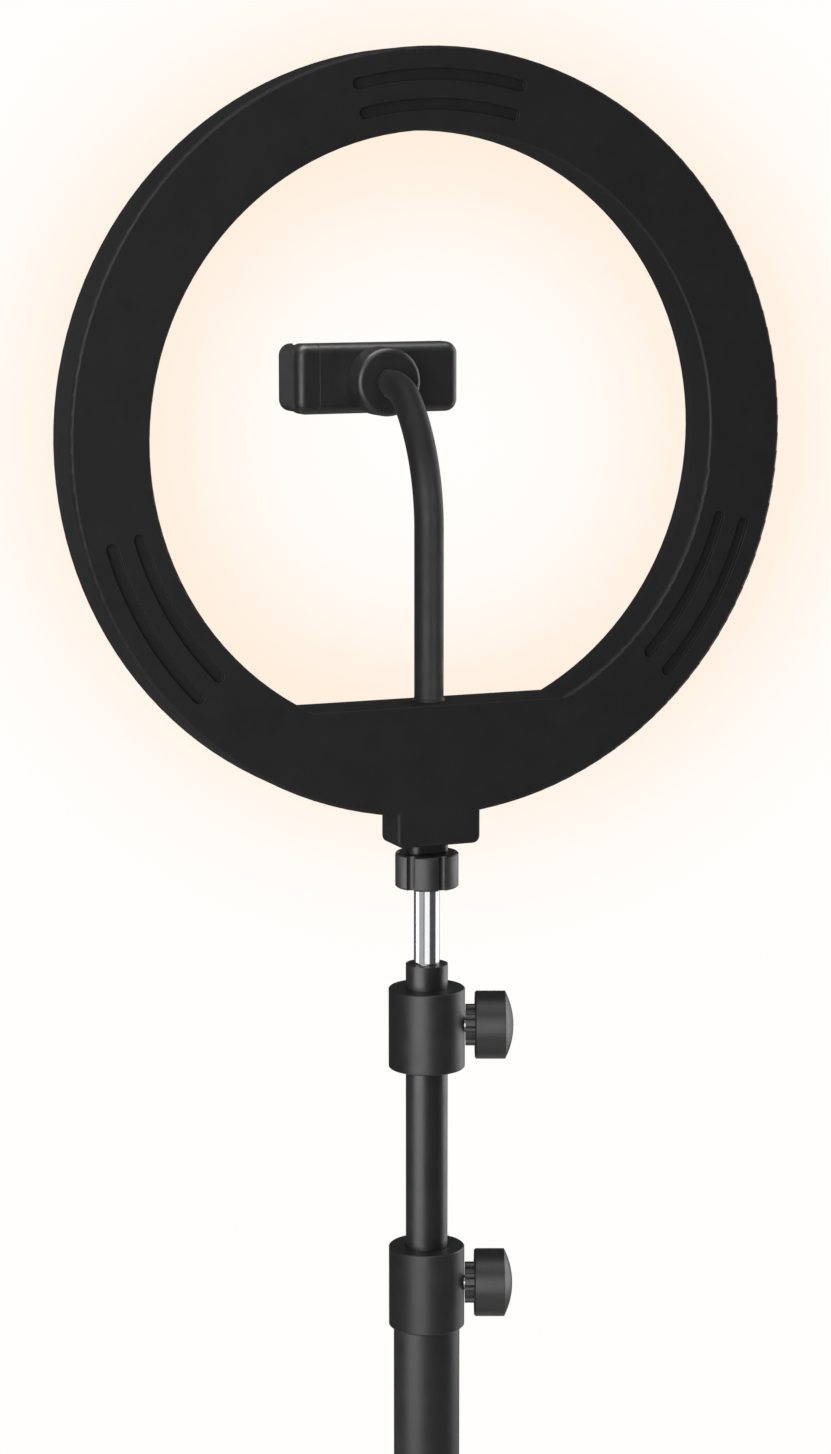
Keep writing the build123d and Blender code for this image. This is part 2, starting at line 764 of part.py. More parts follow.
def brace_collar():
    middle = collar_pivot_height
    low = middle - brace_collar_half_height
    high = middle + brace_collar_half_height
    collar = pipe(brace_collar_radius, bottom_tube_radius + 2 * running_gap, low, high)
    ears = lug(tuple(collar_pivot), brace_collar_radius - 2, 6.5)
    ears -= bar((brace_collar_radius, pivot_radius + 10),
                (-brace_half_thickness - face_gap, brace_half_thickness + face_gap), (low, high))
    ears -= across(tuple(collar_pivot), pin_radius, 20)
    ears -= disc(bottom_tube_radius + 1, low, high)
    for turn in leg_turns:
        collar += turned(ears, turn)
    return collar - screw_hole(brace_knob_turn, middle, 2.5 + running_gap)


# ---- write every sub-part -----------------------------------------------------------------

save("rear_cover", rear_cover())
save("outer_bezel", outer_bezel())
save("inner_bezel", inner_bezel())
save("diffuser", diffuser())
save("reflector", reflector())
save("led_board", led_board())
save_group("leds", leds())
save_group("board_screws", board_screws())
save("driver_board", driver_board())
save("cable_grommet", cable_grommet())
save("tilt_pin", tilt_pin())
save("tilt_knuckle", tilt_knuckle())
save("knuckle_insert", knuckle_insert())
save("lock_nut", lock_nut())

save("neck_insert", neck_insert())
save("gooseneck_base", gooseneck_base())
save("gooseneck_lower", gooseneck_lower())
save("gooseneck_upper", gooseneck_upper())

save("ball_socket", ball_socket())
save("clamp_body", clamp_body())
save("clamp_cover", clamp_cover())
save_group("clamp_pads", clamp_pads())
save("clamp_jaw", clamp_jaw())
save("jaw_pad", jaw_pad())
save_group("jaw_rods", jaw_rods())
save_group("jaw_clips", jaw_clips())
save_group("jaw_springs", jaw_springs())

save("top_rod", top_rod())
save("top_rod_guide", top_rod_guide())
save("mid_tube", mid_tube())
save("mid_tube_bush", mid_tube_bush())
save("mid_tube_guide", mid_tube_guide())
save("collar_1", collar_1())
save("bottom_tube", bottom_tube())
save("bottom_tube_bush", bottom_tube_bush())
save("collar_2", collar_2())
save("tube_end_cap", tube_end_cap())

knob_start = collar_radius + 0.2
knob_sets = (
    ("knob_1", knob_turn, knob_start, knob_1_height, top_rod_radius + face_gap, knob_screw_radius, 1.0),
    ("knob_2", knob_turn, knob_start, knob_2_height, mid_tube_radius + face_gap, knob_screw_radius, 1.0),
    ("brace_knob", brace_knob_turn, brace_collar_radius + 0.2, collar_pivot_height,
     bottom_tube_radius + face_gap, 2.5, 0.7),
)
for name, *placement in knob_sets:
    head, screw = knob_and_screw(*placement)
    save(name, head)
    save(f"{name}_screw", screw)

save("leg_hub", leg_hub())
save("brace_collar", brace_collar())
hub_pin = riveted_pin((pivot_radius, 0, hub_pivot_height), leg_half_width + face_gap, 1.2)
collar_pin = across(tuple(collar_pivot), pin_radius, 6.5)
brace_pin = riveted_pin(tuple(brace_pivot), leg_half_width, 1.2)
save_group("hub_pins", [turned(hub_pin, turn) for turn in leg_turns])
save_group("collar_pins", [turned(collar_pin, turn) for turn in leg_turns])
for number, turn in enumerate(leg_turns, start=1):
    save(f"leg_{number}", turned(leg(), turn))
    save(f"foot_{number}", turned(foot(), turn))
    save(f"brace_{number}", turned(brace(), turn))
    save(f"brace_pin_{number}", turned(brace_pin, turn))
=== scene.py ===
"""The looks of a ring light on a folding stand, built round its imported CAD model. Metres, +Z up."""
import bpy
import json
import math
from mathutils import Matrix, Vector


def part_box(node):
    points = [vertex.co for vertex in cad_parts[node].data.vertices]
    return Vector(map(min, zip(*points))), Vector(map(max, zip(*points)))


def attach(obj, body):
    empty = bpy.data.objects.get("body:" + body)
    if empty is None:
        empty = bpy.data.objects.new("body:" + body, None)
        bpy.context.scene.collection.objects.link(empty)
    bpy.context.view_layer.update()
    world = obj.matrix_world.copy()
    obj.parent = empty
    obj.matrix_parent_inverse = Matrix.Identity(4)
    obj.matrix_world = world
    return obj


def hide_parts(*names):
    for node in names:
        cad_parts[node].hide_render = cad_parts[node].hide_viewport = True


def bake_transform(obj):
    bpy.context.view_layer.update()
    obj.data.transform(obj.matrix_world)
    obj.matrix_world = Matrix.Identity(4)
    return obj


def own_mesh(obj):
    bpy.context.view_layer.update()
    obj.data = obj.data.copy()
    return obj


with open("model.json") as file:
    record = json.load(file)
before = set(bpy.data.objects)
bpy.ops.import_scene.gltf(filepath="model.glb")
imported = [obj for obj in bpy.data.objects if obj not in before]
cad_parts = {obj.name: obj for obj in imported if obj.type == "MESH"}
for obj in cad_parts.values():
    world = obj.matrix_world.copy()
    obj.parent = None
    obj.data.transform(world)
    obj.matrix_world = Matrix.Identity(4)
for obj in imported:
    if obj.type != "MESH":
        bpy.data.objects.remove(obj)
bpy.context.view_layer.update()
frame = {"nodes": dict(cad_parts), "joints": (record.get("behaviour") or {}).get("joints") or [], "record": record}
nodes = frame["nodes"]
joints = {joint["name"]: joint for joint in frame["joints"]}
scene = bpy.context.scene

# ---- places taken from the frame ----------------------------------------------------------

diffuser_low, diffuser_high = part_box("diffuser")
ring_centre = Vector((0, 0, (diffuser_low.z + diffuser_high.z) / 2))

# ---- camera, in metres and degrees --------------------------------------------------------

camera_distance = 1.30      # in plan, from a point a little behind the column's axis
camera_centre_y = 0.011     # that point's distance behind the axis
camera_turn = 22.98         # from straight behind the ring, towards +X
camera_lift = 0.095         # above the ring's centre
aim_turn = 22.592           # the way it looks, measured as camera_turn is
aim_down = 9.17             # below level
lens_mm = 82.1
sensor_mm = 36.0


# ---- material building --------------------------------------------------------------------

class Shader:
    """A node material, built one node at a time."""

    def __init__(self, name):
        self.material = bpy.data.materials.new(name)
        self.material.use_nodes = True
        self.tree = self.material.node_tree
        self.surface = self.tree.nodes["Principled BSDF"]
        self.place = self.add("ShaderNodeTexCoord").outputs["Object"]

    def add(self, kind, **settings):
        node = self.tree.nodes.new(kind)
        for key, value in settings.items():
            setattr(node, key, value)
        return node

    def link(self, start, end):
        self.tree.links.new(start, end)

    def fill(self, socket, value):
        """Sets a socket to a value, or links another socket into it."""
        if isinstance(value, bpy.types.NodeSocket):
            self.link(value, socket)
        else:
            socket.default_value = value

    def noise(self, scale, detail=2.0, roughness=0.5, stretch=None):
        node = self.add("ShaderNodeTexNoise")
        node.inputs["Scale"].default_value = scale
        node.inputs["Detail"].default_value = detail
        node.inputs["Roughness"].default_value = roughness
        self.link(self.stretched(stretch), node.inputs["Vector"])
        return node.outputs["Fac"]

    def stretched(self, stretch):
        if stretch is None:
            return self.place
        mapping = self.add("ShaderNodeMapping")
        mapping.inputs["Scale"].default_value = stretch
        self.link(self.place, mapping.inputs["Vector"])
        return mapping.outputs["Vector"]

    def math(self, operation, a, b=0.0):
        node = self.add("ShaderNodeMath", operation=operation)
        self.fill(node.inputs[0], a)
        self.fill(node.inputs[1], b)
        return node.outputs[0]

    def spread(self, value, low, high, out_low=0.0, out_high=1.0):
        """Maps low to high onto out_low to out_high, and stops at both ends."""
        node = self.add("ShaderNodeMapRange")
        for socket, number in zip(node.inputs[:5], (value, low, high, out_low, out_high)):
            self.fill(socket, number)
        return node.outputs["Result"]

    def mix(self, factor, first, second):
        node = self.add("ShaderNodeMix", data_type="RGBA")
        self.fill(node.inputs["Factor"], factor)
        self.fill(node.inputs[6], first)
        self.fill(node.inputs[7], second)
        return node.outputs[2]

    def edges(self, radius):
        """The rounded normal near an edge, and how far it turns from the face's own normal."""
        bevel = self.add("ShaderNodeBevel", samples=6)
        bevel.inputs["Radius"].default_value = radius
        plain = self.add("ShaderNodeNewGeometry").outputs["Normal"]
        dot = self.add("ShaderNodeVectorMath", operation="DOT_PRODUCT")
        self.link(bevel.outputs["Normal"], dot.inputs[0])
        self.link(plain, dot.inputs[1])
        turn = self.spread(dot.outputs["Value"], 0.995, 0.80)
        return bevel.outputs["Normal"], turn

    def bump(self, height, distance, normal=None):
        node = self.add("ShaderNodeBump")
        node.inputs["Strength"].default_value = 1.0
        node.inputs["Distance"].default_value = distance
        self.fill(node.inputs["Height"], height)
        if normal is not None:
            self.link(normal, node.inputs["Normal"])
        return node.outputs["Normal"]

    def finish(self, **inputs):
        """Sets the surface's inputs by name, with _ for a space, and gives the finished material."""
        for name, value in inputs.items():
            self.fill(self.surface.inputs[name.replace("_", " ")], value)
        return self.material


def grey(value, warmth=0.0):
    return (value * (1 + warmth), value, value * (1 - warmth), 1)


def shaded(colour, factor):
    """The colour made darker or lighter by a factor, and still opaque."""
    return tuple(min(1.0, part * factor) for part in colour[:3]) + (1,)


def plastic(name, base, rough, grain_scale, grain_depth, edge=0.0004, worn=1.8, shine=0.45):
    """Moulded plastic: fine spark-eroded grain, slow gloss changes, and edges rubbed a little brighter."""
    s = Shader(name)
    rounded, on_edge = s.edges(edge)
    slow = s.noise(38, 4)
    grain = s.noise(grain_scale, 3, 0.6)
    rubbed = s.math("MULTIPLY", on_edge, s.spread(s.noise(160, 3), 0.35, 0.7))
    colour = s.mix(s.spread(slow, 0.3, 0.7), grey(base * 0.9), grey(base * 1.12))
    colour = s.mix(s.math("MULTIPLY", rubbed, 0.6), colour, grey(base * worn))
    roughness = s.spread(s.noise(90, 5, 0.65), 0.3, 0.7, rough - 0.05, rough + 0.06)
    return s.finish(Base_Color=colour, Roughness=roughness, Specular_IOR_Level=shine,
                    Normal=s.bump(grain, grain_depth, rounded))


def powder_coat(name, base, rough):
    """Satin black paint on steel: orange-peel ripple, fine specks, and thin worn edges."""
    s = Shader(name)
    rounded, on_edge = s.edges(0.0004)
    peel = s.noise(900, 2)
    fine = s.noise(4200, 2)
    height = s.math("ADD", peel, s.math("MULTIPLY", fine, 0.4))
    worn = s.math("MULTIPLY", on_edge, s.spread(s.noise(240, 4), 0.5, 0.72))
    colour = s.mix(s.spread(s.noise(60, 3), 0.3, 0.7), grey(base * 0.9), grey(base * 1.15))
    colour = s.mix(s.math("MULTIPLY", worn, 0.5), colour, grey(0.09))
    roughness = s.spread(s.noise(120, 4), 0.3, 0.7, rough - 0.04, rough + 0.05)
    return s.finish(Base_Color=colour, Roughness=roughness, Specular_IOR_Level=0.8,
                    Coat_Weight=0.15, Coat_Roughness=0.3, Normal=s.bump(height, 0.00004, rounded))


def chrome(name):
    """Bright plating over a drawn rod: faint lengthwise polish and hairline rings from sliding."""
    s = Shader(name)
    rounded, _ = s.edges(0.0003)
    rings = s.noise(600, 3, stretch=(0.02, 0.02, 1.0))
    lines = s.noise(2600, 2, stretch=(1.0, 1.0, 0.01))
    height = s.math("ADD", s.math("MULTIPLY", rings, 0.5), lines)
    roughness = s.spread(rings, 0.35, 0.75, 0.10, 0.17)
    return s.finish(Base_Color=(0.86, 0.86, 0.88, 1), Metallic=1.0, Roughness=roughness,
                    Normal=s.bump(height, 0.000004, rounded))


def steel(name, colour, rough):
    """Turned or drawn metal: fine lines across one axis, and slow changes of tone."""
    s = Shader(name)
    rounded, _ = s.edges(0.0002)
    brushed = s.noise(1800, 3, stretch=(1.0, 0.08, 1.0))
    tint = s.mix(s.spread(s.noise(300, 3), 0.3, 0.7), colour, shaded(colour, 0.8))
    roughness = s.spread(brushed, 0.3, 0.7, rough, rough + 0.15)
    return s.finish(Base_Color=tint, Metallic=1.0, Roughness=roughness,
                    Normal=s.bump(brushed, 0.00001, rounded))


def rubber(name, base, rough, grain_scale=2200):
    """Moulded rubber: fine grain, and a faint pale bloom in patches."""
    s = Shader(name)
    rounded, _ = s.edges(0.0004)
    grain = s.noise(grain_scale, 3, 0.6)
    bloom = s.spread(s.noise(45, 5, 0.6), 0.4, 0.75)
    colour = s.mix(bloom, grey(base * 0.9), grey(base * 1.35, 0.03))
    roughness = s.spread(s.noise(150, 4), 0.3, 0.7, rough - 0.05, rough + 0.07)
    return s.finish(Base_Color=colour, Roughness=roughness, Specular_IOR_Level=0.28, Sheen_Weight=0.06,
                    Normal=s.bump(grain, 0.00003, rounded))


def foam(name):
    """Dark closed-cell foam, painted darker in each cell's hollow as shade."""
    s = Shader(name)
    cells = s.add("ShaderNodeTexVoronoi", feature="SMOOTH_F1")
    cells.inputs["Scale"].default_value = 1900
    s.link(s.place, cells.inputs["Vector"])
    # Painted shade: the colour follows the cells' depth, darkest in each cell's hollow.
    colour = s.mix(cells.outputs["Distance"], grey(0.012), grey(0.05))
    return s.finish(Base_Color=colour, Roughness=0.92, Normal=s.bump(cells.outputs["Distance"], 0.00015))


def ring_angle(s):
    """The distance from the ring's axis, and the angle round it in radians."""
    split = s.add("ShaderNodeSeparateXYZ")
    s.link(s.place, split.inputs[0])
    height = s.math("SUBTRACT", split.outputs["Z"], ring_centre.z)
    across = split.outputs["X"]
    squares = s.math("ADD", s.math("POWER", across, 2.0), s.math("POWER", height, 2.0))
    return s.math("SQRT", squares), s.math("ARCTAN2", height, across)


lamps_per_row = 36
lamp_rows_radius = 0.1346       # the circle midway between the two rows of lamps
lamp_row_offset = 0.007         # each row's distance from that circle
lamp_spot_reach = 0.006         # how far a lamp's spot spreads, in or out


def milky_diffuser(name):
    """Opal acrylic lit from behind: each lamp shows as a soft brighter spot."""
    s = Shader(name)
    radius, angle = ring_angle(s)
    off_lamp = s.math("SUBTRACT", angle, math.pi / lamps_per_row)
    wave = s.math("COSINE", s.math("MULTIPLY", off_lamp, lamps_per_row))
    spots = s.spread(wave, -1.0, 1.0)
    off_circle = s.math("ABSOLUTE", s.math("SUBTRACT", radius, lamp_rows_radius))
    off_row = s.math("ABSOLUTE", s.math("SUBTRACT", off_circle, lamp_row_offset))
    band = s.spread(off_row, lamp_spot_reach, 0.0)
    glow = s.math("MULTIPLY", spots, band)
    frost = s.noise(1400, 3)
    strength = s.spread(glow, 0.0, 1.0, 0.62, 0.95)
    tint = s.mix(glow, (1.0, 0.80, 0.58, 1), (1.0, 0.94, 0.82, 1))
    return s.finish(Base_Color=(0.9, 0.88, 0.84, 1), Roughness=0.45, Emission_Color=tint,
                    Emission_Strength=strength, Normal=s.bump(frost, 0.00002))


def circuit_board(name, base):
    """Lacquered board, with copper tracks showing faintly through."""
    s = Shader(name)
    traces = s.add("ShaderNodeTexBrick")
    traces.inputs["Scale"].default_value = 260
    s.link(s.place, traces.inputs["Vector"])
    return s.finish(Base_Color=s.mix(traces.outputs["Fac"], base, shaded(base, 1.3)), Roughness=0.35,
                    Normal=s.bump(traces.outputs["Fac"], 0.00003))


def lamp_chip(name):
    s = Shader(name)
    speck = s.noise(2400, 2)
    colour = s.mix(speck, (0.95, 0.75, 0.28, 1), (1.0, 0.88, 0.5, 1))
    return s.finish(Base_Color=colour, Roughness=0.3, Emission_Color=(1.0, 0.85, 0.6, 1),
                    Emission_Strength=3.0)


def white_plastic(name, base, rough):
    """Undyed plastic: smooth, with a faint mottle."""
    s = Shader(name)
    rounded, _ = s.edges(0.0003)
    colour = s.mix(s.noise(120, 3), grey(base * 0.95, 0.01), grey(base, 0.01))
    roughness = s.spread(s.noise(300, 3), 0.3, 0.7, rough, rough + 0.1)
    return s.finish(Base_Color=colour, Roughness=roughness,
                    Normal=s.bump(s.noise(2500, 2), 0.00002, rounded))


materials = {
    "ring_black": plastic("ring_black", 0.011, 0.56, 2600, 0.00004, worn=3.5),
    "bezel_black": plastic("bezel_black", 0.014, 0.5, 2600, 0.00003),
    "moulded_black": plastic("moulded_black", 0.014, 0.42, 3400, 0.000015, worn=3.0, shine=0.8),
    "tube_black": powder_coat("tube_black", 0.014, 0.40),
    "leg_black": powder_coat("leg_black", 0.015, 0.38),
    "plated_rod": chrome("plated_rod"),
    "neck_black": rubber("neck_black", 0.018, 0.46),
    "boot_rubber": rubber("boot_rubber", 0.014, 0.7, 1400),
    "pad_foam": foam("pad_foam"),
    "milky_diffuser": milky_diffuser("milky_diffuser"),
    "reflector_white": white_plastic("reflector_white", 0.8, 0.6),
    "board_white": circuit_board("board_white", (0.78, 0.78, 0.74, 1)),
    "board_green": circuit_board("board_green", (0.02, 0.13, 0.05, 1)),
    "led_yellow": lamp_chip("led_yellow"),
    "steel": steel("steel", (0.55, 0.55, 0.56, 1), 0.22),
    "brass": steel("brass", (0.72, 0.52, 0.22, 1), 0.25),
    "bush_nylon": white_plastic("bush_nylon", 0.6, 0.5),
}


def paint_cad_nodes():
    """Gives every CAD node the material of its slot."""
    for entry in frame["record"]["subparts"]:
        mesh = nodes[entry["node"]].data
        mesh.materials.clear()
        mesh.materials.append(materials[entry["material_slot"]])


paint_cad_nodes()


# ---- mesh building ------------------------------------------------------------------------

def make_piece(name, points, faces, slot):
    mesh = bpy.data.meshes.new(name)
    mesh.from_pydata(points, [], faces)
    mesh.validate()
    mesh.shade_smooth()
    mesh.materials.append(materials[slot])
    piece = bpy.data.objects.new(name, mesh)
    scene.collection.objects.link(piece)
    return piece


def loft(rings, cap_start=False, cap_end=False):
    """Points and faces of a skin over rings that all have the same number of points."""
    count = len(rings[0])
    points = [point for ring in rings for point in ring]
    faces = []
    for i in range(len(rings) - 1):
        for j in range(count):
            k = (j + 1) % count
            faces.append((i * count + j, i * count + k, (i + 1) * count + k, (i + 1) * count + j))
    last = (len(rings) - 1) * count
    if cap_start:
        faces.append(tuple(reversed(range(count))))
    if cap_end:
        faces.append(tuple(range(last, last + count)))
    return points, faces


def circle(centre, heading, radius, steps=40):
    """A ring of points round a heading that lies in a plane of constant X."""
    across = Vector((1, 0, 0))
    other = heading.cross(across)
    turns = [2 * math.pi * i / steps for i in range(steps)]
    return [centre + (across * math.cos(t) + other * math.sin(t)) * radius for t in turns]


def rounded_loop(half_width, half_height, corner, steps=6):
    """The corners of a rounded rectangle about the origin, going round anticlockwise."""
    loop = []
    for i, (x, y) in enumerate(((1, 1), (-1, 1), (-1, -1), (1, -1))):
        for j in range(steps + 1):
            angle = math.radians(90 * i + 90 * j / steps)
            loop.append((x * (half_width - corner) + corner * math.cos(angle),
                         y * (half_height - corner) + corner * math.sin(angle)))
    return loop


# ---- gooseneck ----------------------------------------------------------------------------

neck_low, neck_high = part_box("gooseneck_base")
neck_radius = (neck_high.x - neck_low.x) / 2
neck_y = (neck_low.y + neck_high.y) / 2
bridge_drop = 0.1056                    # the bridge's top face, below the ring's centre
first_bend_drop = 0.0372                # the first bend's start, below the ring's centre
bridge_top = ring_centre.z - bridge_drop

# Lengths from here on are along the neck, from the bridge's top face.
first_bend_start = ring_centre.z - first_bend_drop - bridge_top
first_bend_radius, first_bend_angle = 0.066, math.radians(48)
second_bend_radius, second_bend_angle = 0.024, math.radians(34)
second_bend_start = first_bend_start + first_bend_radius * first_bend_angle
neck_end = second_bend_start + second_bend_radius * second_bend_angle
sleeve_end = neck_end + 0.0036          # clear of the socket's rim when the clamp tips
ball_from_neck_end = 0.0085
ball_radius = 0.006
stem_radius = 0.0032
bend_half_length = 0.018                # half the stretch about each hinge
lower_flex = joints["gooseneck_bend_low"]["pos_m"][2] - bridge_top
upper_flex_angle = math.radians(30)     # how far round the first bend the upper hinge is
upper_flex = first_bend_start + first_bend_radius * upper_flex_angle
sleeve_joint = 0.067                    # where the two sleeves meet


def neck_place(length):
    """The point of the neck's centre line at a length from the bridge, and its heading there."""
    angle = min(max(length - first_bend_start, 0) / first_bend_radius, first_bend_angle)
    y = neck_y - first_bend_radius * (1 - math.cos(angle))
    z = bridge_top + min(length, first_bend_start) + first_bend_radius * math.sin(angle)
    if length > second_bend_start:
        turned = angle + min((length - second_bend_start) / second_bend_radius, second_bend_angle)
        y -= second_bend_radius * (math.cos(angle) - math.cos(turned))
        z += second_bend_radius * (math.sin(turned) - math.sin(angle))
        angle = turned
    heading = Vector((0, -math.sin(angle), math.cos(angle)))
    return Vector((0, y, z)) + heading * max(length - neck_end, 0), heading


def neck_ring(length, radius):
    """A ring of points round the neck at a length."""
    return circle(*neck_place(length), radius)


def neck_lengths(start, end, spacing=0.0012):
    """Even lengths from start to end, about a spacing apart."""
    count = round((end - start) / spacing)
    return [start + (end - start) * i / count for i in range(count + 1)]


def flexes(piece, middle):
    """Bakes a piece's transform into its mesh. It finds the neck's points a bend's half length either side of
    middle, but nothing uses them.
    """
    start = neck_place(middle - bend_half_length)[0]
    end = neck_place(middle + bend_half_length)[0]
    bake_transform(piece)


def make_gooseneck():
    """A smooth rubber-covered neck in two lengths, which take the place of the CAD gooseneck's pieces."""
    foot = [(-0.0004, 0.0064), (0.0003, 0.0065), (0.0009, 0.0063), (0.0013, 0.0060)]   # length, radius
    foot_end = 0.0018
    rings = [neck_ring(length, radius) for length, radius in foot]
    rings += [neck_ring(length, neck_radius) for length in neck_lengths(foot_end, sleeve_joint)]
    lower = make_piece("neck_sleeve_lower", *loft(rings, cap_start=True), "neck_black")
    flexes(lower, lower_flex)
    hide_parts("gooseneck_base", "gooseneck_lower")

    edge = 0.0016
    rings = [neck_ring(length, neck_radius) for length in neck_lengths(sleeve_joint, sleeve_end - edge)]
    for degrees in (20, 40, 60, 80, 90):
        angle = math.radians(degrees)
        length = sleeve_end - edge * (1 - math.sin(angle))
        rings.append(neck_ring(length, neck_radius - edge * (1 - math.cos(angle))))
    stem_groove = 0.0004
    rings.append(neck_ring(sleeve_end, stem_radius + stem_groove))
    rings.append(neck_ring(sleeve_end, stem_radius))
    ball_at = neck_end + ball_from_neck_end
    ball_steps = 14
    first_latitude = math.asin(stem_radius / ball_radius)
    last_latitude = math.pi - 0.05
    for i in range(ball_steps + 1):
        latitude = first_latitude + (last_latitude - first_latitude) * i / ball_steps
        length = ball_at - ball_radius * math.cos(latitude)
        rings.append(neck_ring(length, ball_radius * math.sin(latitude)))
    upper = make_piece("neck_sleeve_upper", *loft(rings, cap_end=True), "neck_black")
    flexes(upper, upper_flex)
    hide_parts("gooseneck_upper")


# ---- phone clamp: springs and foam pads ---------------------------------------------------

def make_springs():
    """The two compression springs that pull the jaw in, wound from round wire."""
    low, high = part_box("jaw_springs")
    wire = 0.00035                      # the wire's radius
    coil_radius = (high.y - low.y) / 2 - wire
    y = (low.y + high.y) / 2
    turns, steps, sides = 17, 18, 8
    length = high.x - low.x
    along = Vector((1, 0, 0))
    inset = coil_radius + wire
    for name, z in (("spring_low", low.z + inset), ("spring_high", high.z - inset)):
        rings = []
        for i in range(turns * steps + 1):
            angle = 2 * math.pi * i / steps
            out = Vector((0, math.cos(angle), math.sin(angle)))
            x = low.x + wire + (length - 2 * wire) * i / (turns * steps)
            centre = Vector((x, y, z)) + out * coil_radius
            rings.append([centre + (out * math.cos(t) + along * math.sin(t)) * wire
                          for t in (2 * math.pi * k / sides for k in range(sides))])
        spring = make_piece(name, *loft(rings, True, True), "steel")
        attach(spring, "clamp")
        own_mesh(spring)
        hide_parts("jaw_springs")


def foam_pad(name, low, high, axis, towards, body, node):
    """A glued foam pad: soft edges and a slightly crowned face. axis is its thin direction, and towards
    is 1 or -1, for the end of that axis its face looks to."""
    size = high - low
    middle = (low + high) / 2
    flat = [i for i in range(3) if i != axis]
    half = [size[i] / 2 for i in flat]
    thick = size[axis]
    corner = 0.0024
    least_corner = 0.0010
    profile = ((0.0, 0.0), (0.55, 0.0), (0.8, 0.00012), (0.94, 0.00035), (1.0, 0.0008), (1.0, 0.0016),
               (1.03, 0.0032))          # the share of its thickness, and how far in from its outline
    rings = []
    for rise, inset in profile:
        ring = []
        for u, v in rounded_loop(half[0] - inset, half[1] - inset, max(corner - inset, least_corner)):
            point = middle.copy()
            point[flat[0]] += u
            point[flat[1]] += v
            point[axis] += towards * thick * (min(rise, 1.0) - 0.5)
            ring.append(point)
        rings.append(ring)
    pad = make_piece(name, *loft(rings, True, True), "pad_foam")
    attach(pad, body)
    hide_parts(node)


def make_pads():
    """The clamp's two pads, on its fixed end and its back, and the jaw's own."""
    low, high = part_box("clamp_pads")
    jaw_low, jaw_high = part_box("jaw_pad")
    thick = jaw_high.x - jaw_low.x
    side_high = Vector((low.x + thick, jaw_high.y, jaw_high.z))
    foam_pad("pad_side", Vector((low.x, jaw_low.y, jaw_low.z)), side_high, 0, 1, "clamp", "clamp_pads")
    back_gap = 0.003                    # from the side pad's outer face to the back pad
    back_low = Vector((low.x + back_gap, high.y - thick, low.z))
    foam_pad("pad_back", back_low, high, 1, -1, "clamp", "clamp_pads")
    foam_pad("pad_jaw", jaw_low, jaw_high, 0, -1, "jaw", "jaw_pad")


# ---- rubber feet --------------------------------------------------------------------------

leg_spread = math.radians(50)           # leg to the vertical
leg_length = 0.42
boot_overlap = 0.034                    # up the leg from its end
boot_sole = 0.018                       # past the leg's end
boot_rise = 0.002                       # the boot's middle above the leg's
boot_half_width = 0.011
boot_half_height = 0.0085
boot_corner = 0.0032


def make_feet():
    """Ribbed rubber boots over the legs' ends, pressed flat on the floor."""
    for number in (1, 2, 3):
        pivot = Vector(joints[f"leg_{number}_fold"]["pos_m"])
        outward = Vector((pivot.x, pivot.y, 0)).normalized()
        heading = outward * math.sin(leg_spread) - Vector((0, 0, math.cos(leg_spread)))
        upper_side = outward * math.cos(leg_spread) + Vector((0, 0, math.sin(leg_spread)))
        sideways = heading.cross(upper_side)
        start, end = leg_length - boot_overlap, leg_length + boot_sole
        # Each step is a distance along the leg, and how far the outline grows there.
        profile = [(start, -0.0016), (start + 0.0006, -0.0006), (start + 0.0016, 0.0),
                   (start + 0.0045, 0.0)]
        for i in range(5):
            groove = start + 0.0062 + 0.0052 * i
            profile += [(groove, 0.0), (groove + 0.0005, -0.0009), (groove + 0.0016, -0.0009),
                        (groove + 0.0021, 0.0)]
        profile += [(end - 0.008, 0.0), (end - 0.003, -0.0002), (end - 0.0012, -0.0009), (end, -0.0028)]
        rings = []
        for along, grow in profile:
            centre = pivot + heading * along + upper_side * boot_rise
            ring = []
            for u, v in rounded_loop(boot_half_width + grow, boot_half_height + grow, boot_corner, 5):
                point = centre + sideways * u + upper_side * v
                point.z = max(point.z, 0.0)
                ring.append(point)
            rings.append(ring)
        boot = make_piece(f"boot_{number}", *loft(rings, True, True), "boot_rubber")
        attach(boot, f"leg_{number}")
        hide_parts(f"foot_{number}")


make_gooseneck()
make_springs()
make_pads()
make_feet()


# ---- stage --------------------------------------------------------------------------------

def direction(turn, lift=0.0):
    """A direction by its angle from +X in plan and its lift above the floor, in degrees."""
    a, e = math.radians(turn), math.radians(lift)
    return Vector((math.cos(a) * math.cos(e), math.sin(a) * math.cos(e), math.sin(e)))


def aim(thing, target):
    """Turns a camera or light to look at a point."""
    thing.rotation_mode = "QUATERNION"
    thing.rotation_quaternion = (target - thing.location).to_track_quat("-Z", "Y")


def make_camera():
    """The camera, behind the ring and to one side, and a little above it."""
    data = bpy.data.cameras.new("camera")
    data.lens = lens_mm
    data.sensor_width = sensor_mm
    camera = bpy.data.objects.new("camera", data)
    scene.collection.objects.link(camera)
    camera.location = direction(90 - camera_turn) * camera_distance
    camera.location.y += camera_centre_y
    camera.location.z = ring_centre.z + camera_lift
    aim(camera, camera.location + direction(-90 - aim_turn, -aim_down))
    scene.camera = camera
    return camera


def linked(name, pieces, state):
    """A list of pieces that a light reaches or leaves out."""
    group = bpy.data.collections.new(name)
    for piece in pieces:
        group.objects.link(piece)
    for member in group.collection_objects:
        member.light_linking.link_state = state
    return group


